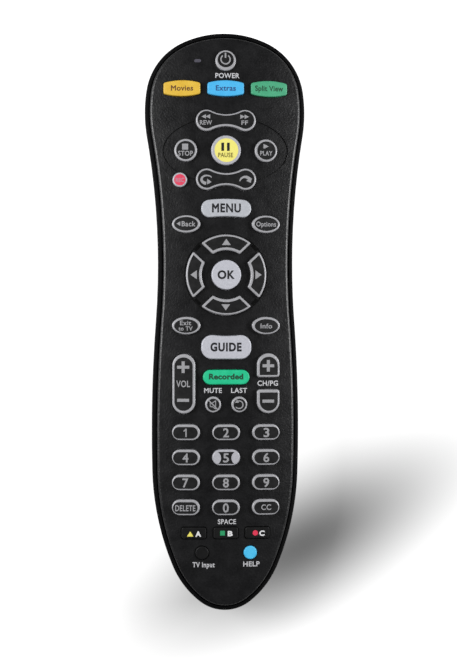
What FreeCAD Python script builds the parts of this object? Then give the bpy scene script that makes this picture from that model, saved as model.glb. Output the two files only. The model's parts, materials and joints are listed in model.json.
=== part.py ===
import FreeCAD, Part
import math
import os

Vector = FreeCAD.Vector

# Cable box remote control, in millimetres.
# X runs across, Y along towards the head, Z up from the table it lies on.
# The origin is under the middle of the casing.

# Casing seen from above: tangent arcs from the head's crown round to the tail
length = 220.0
crown_radius = 38.9
shoulder_radius = 24.1
head_radius = 56.0
head_half_width = 30.55
head_station = 80.1
waist_half_width = 25.52
waist_station = 21.5
hip_half_width = 27.88
hip_station = -41.9
hip_end_station = -57.2
tail_side_radius = 99.9
tail_shoulder_radius = 33.7
tail_end_radius = 15.5

# Casing seen from the side and from the end
face_height = 27.4
face_radius_across = 140.0
face_radius_along = 1300.0
belly_width = 10.0
belly_height = 17.0
belly_steps = 7
wall = 2.0
rim_drop = 0.5
rim_lip = 1.4
lip_floor = 19.4
rim_rounding = 1.15

# Face plate
parting_gap = 0.3
plate = 1.6
plate_rounding = 1.2
skirt_wall = 1.2
skirt_bottom = 19.0
groove_width = 0.5
groove_depth = 0.4

# Stack between the battery and the keys
cell_diameter = 14.5
cell_length = 49.5
cell_clearance = 0.15
nub_diameter = 5.5
nub_length = 1.0
cell_spacing = 15.4
ceiling = 0.6
board_clearance = 0.1
board_thickness = 1.0
board_inset = 4.2
mat_thickness = 0.4
mat_inset = 4.7
dome_height = 0.3
dome_radius = 2.1
pocket_radius = 1.7
pocket_depth = 0.5
pill_radius = 1.4
pill_thickness = 0.25

# Keys
key_travel = 0.6
key_stop_clearance = 0.1
key_gap = 0.25
key_skirt = 0.8
key_edge = 0.45
rocker_gap = 0.4
rocker_tilt = 2.5
rocker_ridge_radius = 0.65
edge_search = 0.1
proud = 1.7
raised = 1.6
half_raised = 1.3
low = 0.7

power_station = 99.2
power_diameter = 7.8
colour_key_station = 88.6
colour_key_pitch = 16.6
colour_key_width = 13.9
colour_key_side_height = 4.6
colour_key_height = 6.1
colour_key_corner = 0.9
rewind_station = 76.3
replay_station = 53.9
dumbbell_lobe_pitch = 14.7
dumbbell_lobe_diameter = 8.1
dumbbell_waist = 4.6
transport_station = 64.9
transport_pitch = 15.25
transport_diameter = 8.6
pause_diameter = 11.25
record_offset = -17.5
record_station = 53.65
record_diameter = 5.5
oval_half_width = 23.6
oval_half_height = 12.8
menu_station = 42.75
menu_width = 18.9
menu_height = 7.0
menu_corner = 3.2
menu_bow = 0.35
side_oval_pitch = 15.1
back_station = 36.9
exit_station = -1.5
side_oval_width = 10.7
side_oval_height = 6.6
pad_station = 17.7
pad_inner_radius = 9.3
pad_outer_radius = 15.2
pad_channel = 4.4
pad_corner = 0.5
pad_lean = 1.6
ok_diameter = 11.2
guide_station = -9.6
guide_height = 9.0
guide_corner = 4.0
rocker_column = 16.0
volume_station = -23.5
volume_width = 8.6
volume_height = 22.5
channel_up_station = -16.5
channel_down_station = -30.2
channel_height = 9.0
channel_corner = 1.0
list_station = -21.0
list_width = 17.6
list_height = 5.5
mute_station = -31.3
mute_pitch = 4.95
mute_diameter = 6.0
number_column_pitch = 15.15
number_first_station = -41.85
number_row_pitch = 9.5
number_width = 10.5
number_height = 5.95
letter_station = -80.2
letter_pitch = 12.1
letter_width = 9.4
letter_height = 4.4
letter_corner = 0.9
round_station = -87.75
input_offset = -9.0
help_offset = 9.4
round_diameter = 5.1

# Status light, infrared window and its lamps
status_x = -10.6
status_station = 99.25
status_width = 2.6
status_height = 1.2
status_gap = 0.05
status_rise = 0.1
status_flange = 0.6
window_half_width = 12.0
window_bottom = 13.4
window_top = 18.6
window_gap = 0.1
lamp_pitch = 6.0
lamp_radius = 2.5
lamp_height = 14.8
lamp_back_station = 98.2
lamp_length = 8.6
lead_size = 0.5

# Screws, columns and bosses
screw_places = ((17.0, 98.5), (19.5, 8.5), (21.2, -36.6))
boss_radius = 2.2
column_radius = 3.4
pilot_radius = 1.03
screw_radius = 1.0
screw_hole_radius = 1.25
screw_head_radius = 2.2
screw_head_height = 1.4
recess_width = 1.1
recess_length = 2.6
recess_depth = 0.55
screw_well_radius = 2.6
screw_seat = 11.0
screw_length = 9.0

# Battery bay and door
door_front_station = -12.0
door_split = 9.0
door_gap = 0.3
deck = 1.3
bay_front_station = -21.5
bay_length = 55.4
bay_wall = 1.2
bay_side_clearance = 0.45
bay_bottom = 2.6
ledge_width = 1.0
ledge_bottom = 5.2
ledge_thickness = 1.2
rail_thickness = 1.2
rail_lip = 0.9
rail_front_station = -26.0
rail_back_station = -70.0
latch_half_width = 5.0
latch_thickness = 1.0
latch_reach = 1.6
grip_count = 5
grip_first_station = -20.0
grip_pitch = 2.4
grip_half_width = 7.0
grip_radius = 0.6
contact_thickness = 0.4
contact_size = 11.0
spring_wire = 0.6
spring_turns = 3
spring_back_radius = 4.6
spring_front_radius = 3.0

# Parts on the board
chip_size = 10.0
chip_height = 1.5
chip_station = 30.0
crystal_size = (4.6, 11.0, 3.4)
crystal_station = 52.0
capacitor_radius = 2.5
capacitor_length = 5.5
capacitor_station = 68.0

# Heights that follow from the stack
cell_bottom = wall + cell_clearance
cell_axis_height = cell_bottom + cell_diameter / 2
ceiling_bottom = cell_bottom + cell_diameter + cell_clearance
ceiling_top = ceiling_bottom + ceiling
board_bottom = ceiling_top + board_clearance
board_top = board_bottom + board_thickness
mat_top = board_top + mat_thickness
dome_top = mat_top + dome_height
key_bottom = dome_top + key_travel + key_stop_clearance
face_inset = wall + parting_gap
sky = face_height + 12.0


def joined(first, second, along):
    # Point at a distance from the first point on the way to the second
    way = second - first
    return first + way.normalize() * along


def tangent_circle(first, first_reach, second, second_reach, side):
    # Centre that lies at two given reaches from two centres
    way = second - first
    gap = way.Length
    along = (first_reach ** 2 - second_reach ** 2 + gap ** 2) / (2 * gap)
    across = math.sqrt(max(first_reach ** 2 - along ** 2, 0))
    unit = way.normalize()
    return first + unit * along + Vector(-unit.y, unit.x, 0) * across * side


def bowed_radius(narrow, wide, rise):
    # Sum of the radii of two arcs that bow opposite ways and touch
    step = wide - narrow
    return (step ** 2 + rise ** 2) / (2 * step)


def casing_circles():
    # Centre and radius of each arc on the right-hand side, head to tail
    crown = Vector(0, length / 2 - crown_radius, 0)
    head = Vector(head_half_width - head_radius, head_station, 0)
    neck_sum = bowed_radius(waist_half_width, head_half_width, head_station - waist_station)
    waist_radius = neck_sum - head_radius
    waist = Vector(waist_half_width + waist_radius, waist_station, 0)
    hip_sum = bowed_radius(waist_half_width, hip_half_width, waist_station - hip_station)
    hip_radius = hip_sum - waist_radius
    hip = Vector(hip_half_width - hip_radius, hip_station, 0)
    shoulder = tangent_circle(crown, crown_radius - shoulder_radius,
                              head, head_radius - shoulder_radius, -1)
    hip_drop = hip_station - hip_end_station
    hip_end = hip + Vector(math.sqrt(hip_radius ** 2 - hip_drop ** 2), -hip_drop, 0)
    tail_side = joined(hip_end, hip, tail_side_radius)
    tail_end = Vector(0, tail_end_radius - length / 2, 0)
    tail_shoulder = tangent_circle(tail_side, tail_side_radius - tail_shoulder_radius,
                                   tail_end, tail_shoulder_radius - tail_end_radius, 1)
    return [(crown, crown_radius), (shoulder, shoulder_radius), (head, head_radius),
            (waist, -waist_radius), (hip, hip_radius), (tail_side, tail_side_radius),
            (tail_shoulder, tail_shoulder_radius), (tail_end, tail_end_radius)]


def touch_point(one, other, inset):
    # Where two neighbouring arcs touch, drawn in by the inset
    centre, radius = one
    next_centre, next_radius = other
    if radius < 0:
        return joined(next_centre, centre, next_radius - inset)
    if next_radius < 0 or radius > next_radius:
        return joined(centre, next_centre, radius - inset)
    return joined(next_centre, centre, next_radius - inset)


def short_arc(start, end, centre):
    # Arc about a centre, through the middle of its two ends
    middle = (start + end) / 2
    return Part.Arc(start, joined(centre, middle, (start - centre).Length), end).toShape()


def flipped(point):
    return Vector(-point.x, point.y, point.z)


def casing_outline(inset):
    # Closed outline of the casing, drawn in by the inset
    circles = casing_circles()
    touches = [touch_point(one, other, inset) for one, other in zip(circles, circles[1:])]
    edges = [short_arc(flipped(touches[0]), touches[0], circles[0][0])]
    for place in range(1, len(circles) - 1):
        edges.append(short_arc(touches[place - 1], touches[place], circles[place][0]))
    edges.append(short_arc(touches[-1], flipped(touches[-1]), circles[-1][0]))
    for place in range(len(circles) - 2, 0, -1):
        centre = flipped(circles[place][0])
        edges.append(short_arc(flipped(touches[place]), flipped(touches[place - 1]), centre))
    return Part.Face(Part.Wire(edges))


def prism(face, bottom, top):
    solid = face.extrude(Vector(0, 0, top - bottom))
    solid.translate(Vector(0, 0, bottom))
    return solid


def box(low_corner, high_corner):
    low_point = Vector(*low_corner)
    size = Vector(*high_corner) - low_point
    return Part.makeBox(size.x, size.y, size.z, low_point)


def cylinder(x, y, radius, bottom, top):
    return Part.makeCylinder(radius, top - bottom, Vector(x, y, bottom))


def under_face(drop):
    # Everything below the crowned face, lowered by the drop: a turned strip
    # whose top is round across the remote and, on a larger radius, along it
    radius = face_radius_across - drop
    middle = Vector(0, 0, face_height - face_radius_along)
    centre_height = middle.z + face_radius_along - face_radius_across
    reach = length / 4
    edge_height = centre_height + math.sqrt(radius ** 2 - reach ** 2)
    high = Vector(reach, 0, edge_height)
    low_point = Vector(reach, 0, -wall)
    edges = [Part.Arc(flipped(high), Vector(0, 0, centre_height + radius), high).toShape(),
             Part.LineSegment(high, low_point).toShape(),
             Part.LineSegment(low_point, flipped(low_point)).toShape(),
             Part.LineSegment(flipped(low_point), flipped(high)).toShape()]
    strip = Part.Face(Part.Wire(edges))
    half_turn = math.degrees(length / face_radius_along)
    strip.rotate(middle, Vector(1, 0, 0), -half_turn)
    return strip.revolve(middle, Vector(1, 0, 0), 2 * half_turn)


def face_level(x, y):
    # Height of the crowned face at one place
    ring = face_radius_along - face_radius_across
    across = math.sqrt(face_radius_across ** 2 - x ** 2)
    return face_height - face_radius_along + math.sqrt((ring + across) ** 2 - y ** 2)


def belly_section(inset, share):
    # Level and draw-in of the rounded underside, from wall to flat base
    turn = share * math.pi / 2
    out = math.cos(turn) / belly_width
    down = math.sin(turn) / belly_height
    size = math.hypot(out, down)
    draw = belly_width * (1 - math.cos(turn)) + inset * out / size
    level = belly_height * (1 - math.sin(turn)) + inset * down / size
    return draw, level


def hull_blank(inset):
    # Solid of the casing's walls and rounded underside, drawn in by the inset
    wires = []
    for place in range(belly_steps + 1):
        draw, level = belly_section(inset, place / belly_steps)
        wire = casing_outline(draw).OuterWire
        wire.translate(Vector(0, 0, level))
        wires.append(wire)
    belly = Part.makeLoft(wires, True, False)
    return belly.fuse(prism(casing_outline(inset), belly_height, sky))


def on_level(edge, drop):
    # True for an edge whose middle is on the crowned face, lowered by the drop
    point = edge.valueAt((edge.FirstParameter + edge.LastParameter) / 2)
    return abs(point.z - face_level(point.x, point.y) + drop) < edge_search


def soft_topped(solid, radius, drop):
    # Rounds the edge where upright walls meet the crowned top
    picked = [edge for edge in solid.Edges if on_level(edge, drop)]
    return solid.makeFillet(radius, picked)


def casing_shell():
    # Walls and underside in one piece, open at the top, with a thinner lip round
    # the face plate's edge
    solid = hull_blank(0).common(under_face(rim_drop))
    recess = prism(casing_outline(rim_lip), lip_floor, sky)
    return soft_topped(solid, rim_rounding, rim_drop).cut([hull_blank(wall), recess])


def mirrored_pair(places):
    return [(side * x, y) for x, y in places for side in (-1, 1)]


def window_block(gap):
    half = window_half_width + gap
    return box((-half, lamp_back_station, window_bottom - gap), (half, length, window_top + gap))


def door_block(gap):
    # Space of the battery door, with the gap taken off its front and top
    return box((-length, -length, -1), (length, door_front_station - gap, door_split))


def bay_half_width():
    return (cell_spacing + cell_diameter) / 2 + bay_side_clearance


def battery_bay():
    # Tray for the two cells, open below, with a ledge along each side
    half = bay_half_width()
    back = bay_front_station - bay_length
    outer = box((-half - bay_wall, back - bay_wall, bay_bottom),
                (half + bay_wall, bay_front_station + bay_wall, ceiling_top))
    for side in (-1, 1):
        inner_x = side * half
        outer_x = side * (half + bay_wall + ledge_width)
        ledge = box((min(inner_x, outer_x), rail_back_station, ledge_bottom),
                    (max(inner_x, outer_x), rail_front_station, ledge_bottom + ledge_thickness))
        outer = outer.fuse(ledge)
    return outer


def bay_hollow():
    half = bay_half_width()
    back = bay_front_station - bay_length
    return box((-half, back, 0), (half, bay_front_station, ceiling_bottom))


def latch_block(gap):
    # Tongue at the door's front, in the upper half of the wall
    low = (-latch_half_width - gap, door_front_station - wall, wall - latch_thickness - gap)
    high = (latch_half_width + gap, door_front_station + latch_reach + gap, wall + gap)
    return box(low, high)


def rear_case(shell):
    # Lower shell with the deck over the door, the bay and the screw columns
    inside = hull_blank(wall / 2)
    deck_bottom = door_split + door_gap
    deck_top = deck_bottom + deck
    bulkhead_back = door_front_station + wall
    split = box((-length, -length, door_split), (length, door_front_station, deck_bottom))
    deck_plate = box((-length, -length, deck_bottom), (length, bulkhead_back, deck_top))
    bulkhead = box((-length, door_front_station, 0), (length, bulkhead_back, deck_top))
    added = [deck_plate.common(inside), bulkhead.common(inside), battery_bay()]
    removed = [bay_hollow(), latch_block(door_gap)]
    for x, y in mirrored_pair(screw_places):
        foot = deck_bottom if y < door_front_station else 0
        added.append(cylinder(x, y, column_radius, foot, board_bottom).common(inside))
        removed.append(cylinder(x, y, screw_hole_radius, 0, sky))
        removed.append(cylinder(x, y, screw_well_radius, 0, screw_seat))
    body = shell.cut([door_block(0), window_block(window_gap), split])
    return body.fuse(added).cut(removed).removeSplitter()


def door_rail(side):
    # Hooked rib that runs above the bay's ledge
    ledge_edge = bay_half_width() + bay_wall + ledge_width
    web_x = ledge_edge + door_gap
    lip_bottom = ledge_bottom + ledge_thickness + door_gap
    web = box((web_x, rail_back_station, 0), (web_x + rail_thickness, rail_front_station,
                                              lip_bottom + rail_thickness))
    lip = box((web_x - rail_lip, rail_back_station, lip_bottom),
              (web_x + rail_thickness, rail_front_station, lip_bottom + rail_thickness))
    rail = web.fuse(lip)
    if side < 0:
        rail = rail.mirror(Vector(0, 0, 0), Vector(1, 0, 0))
    return rail


def battery_door(shell):
    body = shell.common(door_block(door_gap))
    inside = hull_blank(wall / 2)
    for side in (-1, 1):
        body = body.fuse(door_rail(side).common(inside))
    body = body.fuse(latch_block(0))
    for place in range(grip_count):
        station = grip_first_station - place * grip_pitch
        groove = Part.makeCylinder(grip_radius, 2 * grip_half_width,
                                   Vector(-grip_half_width, station, 0), Vector(1, 0, 0))
        body = body.cut(groove)
    return body.removeSplitter()


# Outlines of the keys, each grown by a given amount on every side


def disc(x, y, diameter, grow=0.0):
    circle = Part.Circle(Vector(x, y, 0), Vector(0, 0, 1), diameter / 2 + grow)
    return Part.Face(Part.Wire([circle.toShape()]))


def oval(x, y, width, height, grow=0.0):
    curve = Part.Ellipse(Vector(0, 0, 0), width / 2 + grow, height / 2 + grow)
    face = Part.Face(Part.Wire([curve.toShape()]))
    face.translate(Vector(x, y, 0))
    return face


def closed_face(edges):
    return Part.Face(Part.Wire(edges))


def line(start, end):
    return Part.LineSegment(start, end).toShape()


def pill(x, y, width, height, grow=0.0):
    # Straight sides with a half circle at each end
    radius = min(width, height) / 2 + grow
    reach = abs(width - height) / 2
    a = Vector(-reach, -radius, 0)
    b = Vector(reach, -radius, 0)
    c = Vector(reach, radius, 0)
    d = Vector(-reach, radius, 0)
    edges = [line(a, b), Part.Arc(b, Vector(reach + radius, 0, 0), c).toShape(),
             line(c, d), Part.Arc(d, Vector(-reach - radius, 0, 0), a).toShape()]
    face = closed_face(edges)
    if height > width:
        face.rotate(Vector(0, 0, 0), Vector(0, 0, 1), 90)
    face.translate(Vector(x, y, 0))
    return face


def bow(start, end, rise):
    # Shallow arc that rises to the left of its way, or a line when flat
    if abs(rise) < 0.001:
        return line(start, end)
    way = (end - start).normalize()
    middle = (start + end) / 2 + Vector(-way.y, way.x, 0) * rise
    return Part.Arc(start, middle, end).toShape()


def cushion(x, y, width, side_height, top_rise, bottom_rise, corner, grow=0.0):
    # Box with bowed top and bottom and rounded corners
    half = width / 2 - corner
    reach = side_height / 2 - corner
    a = Vector(-half, -reach, 0)
    b = Vector(half, -reach, 0)
    c = Vector(half, reach, 0)
    d = Vector(-half, reach, 0)
    core = closed_face([bow(b, a, bottom_rise), line(a, d), bow(d, c, top_rise), line(c, b)])
    face = core.makeOffset2D(corner + grow)
    face.translate(Vector(x, y, 0))
    return face


def rounded_box(x, y, width, height, corner, grow=0.0):
    return cushion(x, y, width, height, 0, 0, corner, grow)


def dumbbell(x, y, grow=0.0):
    # Two round lobes joined by hollow necks, all arcs tangent
    lobe = dumbbell_lobe_diameter / 2
    lobe_x = dumbbell_lobe_pitch / 2
    waist = dumbbell_waist / 2
    neck_radius = (lobe_x ** 2 + waist ** 2 - lobe ** 2) / (2 * (lobe - waist))
    neck = Vector(0, waist + neck_radius, 0)
    right = Vector(lobe_x, 0, 0)
    touch = joined(right, neck, lobe + grow)
    low_touch = Vector(touch.x, -touch.y, 0)
    high_neck = Vector(0, waist + grow, 0)
    low_neck = Vector(0, -high_neck.y, 0)
    far = Vector(lobe_x + lobe + grow, 0, 0)
    edges = [Part.Arc(flipped(touch), high_neck, touch).toShape(),
             Part.Arc(touch, far, low_touch).toShape(),
             Part.Arc(low_touch, low_neck, flipped(low_touch)).toShape(),
             Part.Arc(flipped(low_touch), flipped(far), flipped(touch)).toShape()]
    face = closed_face(edges)
    face.translate(Vector(x, y, 0))
    return face


def pad_sector(turn, grow=0.0):
    # Part of the ring round the middle key, ends along the channels. Those lean
    # towards the keys at the sides, which are the shorter ones.
    way = math.radians(45 + pad_lean if turn % 180 else 45 - pad_lean)
    inner = pad_inner_radius + pad_corner
    outer = pad_outer_radius - pad_corner
    edge = pad_channel / 2 + pad_corner
    corners = []
    for radius in (inner, outer):
        along = math.sqrt(radius ** 2 - edge ** 2)
        x = along * math.cos(way) - edge * math.sin(way)
        y = along * math.sin(way) + edge * math.cos(way)
        corners.append(Vector(x, y, 0))
    near, far = corners
    edges = [Part.Arc(flipped(near), Vector(0, inner, 0), near).toShape(), line(near, far),
             Part.Arc(far, Vector(0, outer, 0), flipped(far)).toShape(),
             line(flipped(far), flipped(near))]
    face = closed_face(edges).makeOffset2D(pad_corner + grow)
    face.rotate(Vector(0, 0, 0), Vector(0, 0, 1), turn)
    face.translate(Vector(0, pad_station, 0))
    return face


def half_round(x, y, way, grow=0.0):
    # Key with one round end, which faces up or down the remote
    half = volume_width / 2 - channel_corner
    base = -way * (channel_height / 2 - channel_corner)
    spring_line = way * (channel_height / 2 - channel_corner - half)
    a = Vector(-half, base, 0)
    b = Vector(half, base, 0)
    c = Vector(half, spring_line, 0)
    d = Vector(-half, spring_line, 0)
    top = Vector(0, spring_line + way * half, 0)
    core = closed_face([line(a, b), line(b, c), Part.Arc(c, top, d).toShape(), line(d, a)])
    face = core.makeOffset2D(channel_corner + grow)
    face.translate(Vector(x, y, 0))
    return face


def menu_outline(grow=0.0):
    rise = menu_bow
    return cushion(0, menu_station, menu_width, menu_height - rise, rise, -rise,
                   menu_corner, grow)


def guide_outline(grow=0.0):
    return cushion(0, guide_station, menu_width, guide_height, -menu_bow, 0,
                   guide_corner, grow)


def outline_of(maker, *sizes):
    # Outline with its sizes fixed, ready to be grown
    return lambda grow=0.0: maker(*sizes, grow)


def key_list():
    # Name, outline and height above the face of every push key
    colour_rise = (colour_key_height - colour_key_side_height) / 2
    keys = [("key_power", outline_of(disc, 0, power_station, power_diameter), raised)]
    for name, side in (("key_amber", -1), ("key_blue", 0), ("key_green", 1)):
        keys.append((name, outline_of(cushion, side * colour_key_pitch, colour_key_station,
                                      colour_key_width, colour_key_side_height, colour_rise,
                                      colour_rise, colour_key_corner), half_raised))
    for name, side in (("key_stop", -1), ("key_play", 1)):
        keys.append((name, outline_of(disc, side * transport_pitch, transport_station,
                                      transport_diameter), raised))
    keys.append(("key_pause", outline_of(disc, 0, transport_station, pause_diameter), raised))
    keys.append(("key_record", outline_of(disc, record_offset, record_station,
                                          record_diameter), raised))
    keys.append(("key_menu", menu_outline, proud))
    keys.append(("key_guide", guide_outline, proud))
    for name, side, station in (("key_back", -1, back_station), ("key_options", 1, back_station),
                                ("key_exit", -1, exit_station), ("key_info", 1, exit_station)):
        keys.append((name, outline_of(oval, side * side_oval_pitch, station, side_oval_width,
                                      side_oval_height), raised))
    for name, turn in (("key_up", 0), ("key_left", 90), ("key_down", 180), ("key_right", 270)):
        keys.append((name, outline_of(pad_sector, turn), raised))
    keys.append(("key_ok", outline_of(disc, 0, pad_station, ok_diameter), raised))
    keys.append(("key_channel_up", outline_of(half_round, rocker_column,
                                              channel_up_station, 1), raised))
    keys.append(("key_channel_down", outline_of(half_round, rocker_column,
                                                channel_down_station, -1), raised))
    keys.append(("key_list", outline_of(pill, 0, list_station, list_width, list_height), raised))
    for name, side in (("key_mute", -1), ("key_last", 1)):
        keys.append((name, outline_of(disc, side * mute_pitch, mute_station, mute_diameter),
                     raised))
    pad_names = ("1", "2", "3", "4", "5", "6", "7", "8", "9", "delete", "0", "captions")
    for place, name in enumerate(pad_names):
        x = (place % 3 - 1) * number_column_pitch
        y = number_first_station - place // 3 * number_row_pitch
        keys.append(("key_" + name, outline_of(pill, x, y, number_width, number_height), raised))
    for name, side in (("key_a", -1), ("key_b", 0), ("key_c", 1)):
        keys.append((name, outline_of(rounded_box, side * letter_pitch, letter_station,
                                      letter_width, letter_height, letter_corner), low))
    keys.append(("key_input", outline_of(disc, input_offset, round_station, round_diameter), low))
    keys.append(("key_help", outline_of(disc, help_offset, round_station, round_diameter), low))
    return keys


def rocker_list():
    # Name, outline, tilting axis and the two contact places of every rocker
    lobe = dumbbell_lobe_pitch / 2
    reach = (volume_height - volume_width) / 2
    volume = outline_of(pill, -rocker_column, volume_station, volume_width, volume_height)
    return [("key_rewind", outline_of(dumbbell, 0, rewind_station), Vector(0, 1, 0),
             [(-lobe, rewind_station), (lobe, rewind_station)]),
            ("key_replay", outline_of(dumbbell, 0, replay_station), Vector(0, 1, 0),
             [(-lobe, replay_station), (lobe, replay_station)]),
            ("key_volume", volume, Vector(1, 0, 0),
             [(-rocker_column, volume_station - reach), (-rocker_column, volume_station + reach)])]


def crowned_prism(face, bottom, drop):
    # Upright prism whose top follows the crowned face
    return prism(face, bottom, sky).common(under_face(drop))


def push_key(outline, height):
    # Cap through the face, with a skirt that the face plate holds down
    cap = soft_topped(crowned_prism(outline(), key_bottom, -height), key_edge, -height)
    skirt = crowned_prism(outline(key_skirt), key_bottom, plate + key_stop_clearance)
    return cap.fuse(skirt).removeSplitter()


def rocker_key(outline, axis):
    # Cap that tilts on a round ridge, with a skirt low enough to tilt
    centre = outline().BoundBox.Center
    span = outline().BoundBox
    half_long = max(span.XLength, span.YLength) / 2 + key_skirt
    swing = half_long * math.sin(math.radians(rocker_tilt))
    cap = soft_topped(crowned_prism(outline(), key_bottom, -raised), key_edge, -raised)
    skirt = crowned_prism(outline(key_skirt), key_bottom,
                          plate + key_stop_clearance + swing)
    half_ridge = min(span.XLength, span.YLength, dumbbell_waist) / 2
    start = Vector(centre.x, centre.y, key_bottom) - axis * half_ridge
    ridge = Part.makeCylinder(rocker_ridge_radius, 2 * half_ridge, start, axis)
    return cap.fuse(skirt).fuse(ridge).removeSplitter()


def oval_groove():
    # Shallow line round the playback keys
    ring = oval(0, transport_station, 2 * oval_half_width, 2 * oval_half_height, groove_width / 2)
    core = oval(0, transport_station, 2 * oval_half_width, 2 * oval_half_height,
                -groove_width / 2)
    return prism(ring.cut(core), skirt_bottom, sky).cut(under_face(groove_depth))


def pad_groove():
    # Shallow line round the navigation keys
    inner = 2 * pad_outer_radius + key_gap
    ring = disc(0, pad_station, inner + 2 * groove_width)
    return prism(ring.cut(disc(0, pad_station, inner)), skirt_bottom, sky).cut(
        under_face(groove_depth))


def top_case(keys, rockers):
    # Plate whose edge lies on the casing's lip, with a skirt inside the walls
    edge = crowned_prism(casing_outline(rim_lip + parting_gap), lip_floor + parting_gap, 0)
    skirt = crowned_prism(casing_outline(face_inset), skirt_bottom, plate)
    body = soft_topped(edge, plate_rounding, 0).fuse(skirt)
    hollow = prism(casing_outline(face_inset + skirt_wall), 0, sky).common(under_face(plate))
    body = body.cut(hollow)
    for x, y in mirrored_pair(screw_places):
        post = cylinder(x, y, boss_radius, board_bottom, sky).common(under_face(plate / 2))
        body = body.fuse(post)
        tip = face_level(x, y) - plate - skirt_wall / 2
        body = body.cut(cylinder(x, y, pilot_radius, 0, tip))
    openings = [prism(outline(key_gap), skirt_bottom - 1, sky) for name, outline, height in keys]
    openings += [prism(outline(rocker_gap), skirt_bottom - 1, sky)
                 for name, outline, axis, contacts in rockers]
    openings.append(prism(pill(status_x, status_station, status_width, status_height,
                               status_gap), skirt_bottom - 1, sky))
    openings.append(oval_groove())
    openings.append(pad_groove())
    return body.cut(openings)


def contact_places(keys, rockers):
    # Middle of every contact under the keys
    places = []
    for name, outline, height in keys:
        centre = outline().BoundBox.Center
        places.append((centre.x, centre.y))
    for name, outline, axis, contacts in rockers:
        places += contacts
    return places


def circuit_board():
    body = prism(casing_outline(board_inset), board_bottom, board_top)
    holes = [cylinder(x, y, boss_radius + parting_gap, 0, sky)
             for x, y in mirrored_pair(screw_places)]
    return body.cut(holes)


def keypad_mat(places, rockers):
    # Rubber sheet with a hollow dome over every contact
    body = prism(casing_outline(mat_inset), board_top, mat_top)
    domes = [cylinder(x, y, dome_radius, board_top, dome_top) for x, y in places]
    for name, outline, axis, contacts in rockers:
        centre = outline().BoundBox.Center
        pad_top = key_bottom - rocker_ridge_radius
        domes.append(cylinder(centre.x, centre.y, dome_radius, board_top, pad_top))
    body = body.fuse(domes)
    cuts = [cylinder(x, y, pocket_radius, board_top - 1, board_top + pocket_depth)
            for x, y in places]
    cuts += [cylinder(x, y, boss_radius + parting_gap, 0, sky)
             for x, y in mirrored_pair(screw_places)]
    cuts.append(prism(pill(status_x, status_station, status_width, status_height,
                           status_flange + parting_gap), 0, sky))
    return body.cut(cuts).removeSplitter()


def contact_pills(places):
    # Carbon discs hung under the domes
    top = board_top + pocket_depth
    return Part.makeCompound([cylinder(x, y, pill_radius, top - pill_thickness, top)
                              for x, y in places])


def status_light():
    # Light guide with a flange under the face plate
    stem = crowned_prism(pill(status_x, status_station, status_width, status_height),
                         mat_top, -status_rise)
    flange = crowned_prism(pill(status_x, status_station, status_width, status_height,
                                status_flange), mat_top, plate + status_gap)
    return stem.fuse(flange).removeSplitter()


def infrared_lamp(side):
    x = side * lamp_pitch
    start = Vector(x, lamp_back_station, lamp_height)
    straight = lamp_length - lamp_radius
    body = Part.makeCylinder(lamp_radius, straight, start, Vector(0, 1, 0))
    body = body.fuse(Part.makeSphere(lamp_radius, start + Vector(0, straight, 0)))
    for lead in (-1, 1):
        lead_x = x + lead * lamp_radius / 2 - lead_size / 2
        foot = box((lead_x, lamp_back_station - 2 * lead_size, lamp_height),
                   (lead_x + lead_size, lamp_back_station + lead_size, lamp_height + lead_size))
        riser = box((lead_x, lamp_back_station - 2 * lead_size, lamp_height),
                    (lead_x + lead_size, lamp_back_station - lead_size, board_bottom))
        body = body.fuse(foot).fuse(riser)
    return body


def screw(x, y):
    head = cylinder(x, y, screw_head_radius, screw_seat - screw_head_height, screw_seat)
    shank = cylinder(x, y, screw_radius, screw_seat, screw_seat + screw_length)
    half = recess_width / 2
    reach = recess_length / 2
    base = screw_seat - screw_head_height
    top = base + recess_depth
    head = head.cut([box((x - reach, y - half, base), (x + reach, y + half, top)),
                     box((x - half, y - reach, base), (x + half, y + reach, top))])
    return head.fuse(shank)


def cell(side):
    # One cell, with its raised end towards the head on the left
    x = side * cell_spacing / 2
    way = -side
    middle = bay_front_station - bay_length / 2
    tip = middle + way * (bay_length / 2 - contact_thickness)
    start = Vector(x, tip - way * (nub_length + cell_length), cell_axis_height)
    body = Part.makeCylinder(cell_diameter / 2, cell_length, start, Vector(0, way, 0))
    nub = Part.makeCylinder(nub_diameter / 2, nub_length,
                            start + Vector(0, way * cell_length, 0), Vector(0, way, 0))
    return body.fuse(nub)


def contact_plate(side, end):
    # Flat contact at one end of one cell, end +1 towards the head
    x = side * cell_spacing / 2
    wall_y = bay_front_station if end > 0 else bay_front_station - bay_length
    inner_y = wall_y - end * contact_thickness
    half = contact_size / 2
    return box((x - half, min(wall_y, inner_y), cell_axis_height - half),
               (x + half, max(wall_y, inner_y), cell_axis_height + half))


def spring_room():
    return bay_length - 2 * contact_thickness - cell_length - nub_length


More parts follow.
